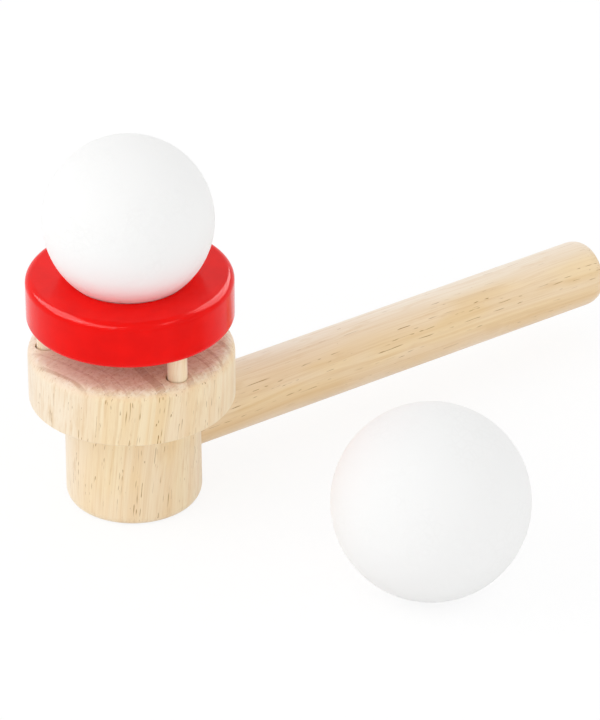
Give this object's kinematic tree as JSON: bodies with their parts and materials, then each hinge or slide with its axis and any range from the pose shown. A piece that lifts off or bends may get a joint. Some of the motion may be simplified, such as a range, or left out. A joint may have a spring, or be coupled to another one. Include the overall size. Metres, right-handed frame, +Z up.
{
  "type": "blow ball pipe toy",
  "caption": "Blow ball pipe: breath blown through a hollow wooden stem leaves a jet under a raised ring and lifts the foam ball that rests in it; a larger spare ball lies beside it.",
  "frame": {"origin": "centre of the flat face of the head's foot, which stands on the table", "axes": "+Z up along the head's axis, through the jet hole, the ring and the resting ball; +X along the blow stem from the head to the mouthpiece; the spare ball lies on the -Y side"},
  "size_m": [0.1405, 0.1057, 0.082],
  "materials": {
    "turned_wood": "matte",
    "dowel_wood": "matte",
    "red_paint": "satin",
    "foam": "matte"
  },
  "bodies": {
    "pipe": {"bowl_head": "turned_wood", "blow_stem": "dowel_wood", "ball_ring": "red_paint", "ring_peg_1": "dowel_wood", "ring_peg_2": "dowel_wood", "ring_peg_3": "dowel_wood"},
    "floating_ball": {"floating_ball": "foam"},
    "spare_ball": {"spare_ball": "foam"}
  },
  "joints": [
    {"name": "ball_float", "type": "slide", "parent": "pipe", "child": "floating_ball", "axis": [0, 0, 1], "range_m": [0, 0.12]},
    {"name": "spare_ball_roll", "type": "slide", "parent": "pipe", "child": "spare_ball", "axis": [0, -1, 0], "range_m": [-0.02, 0.1]}
  ]
}
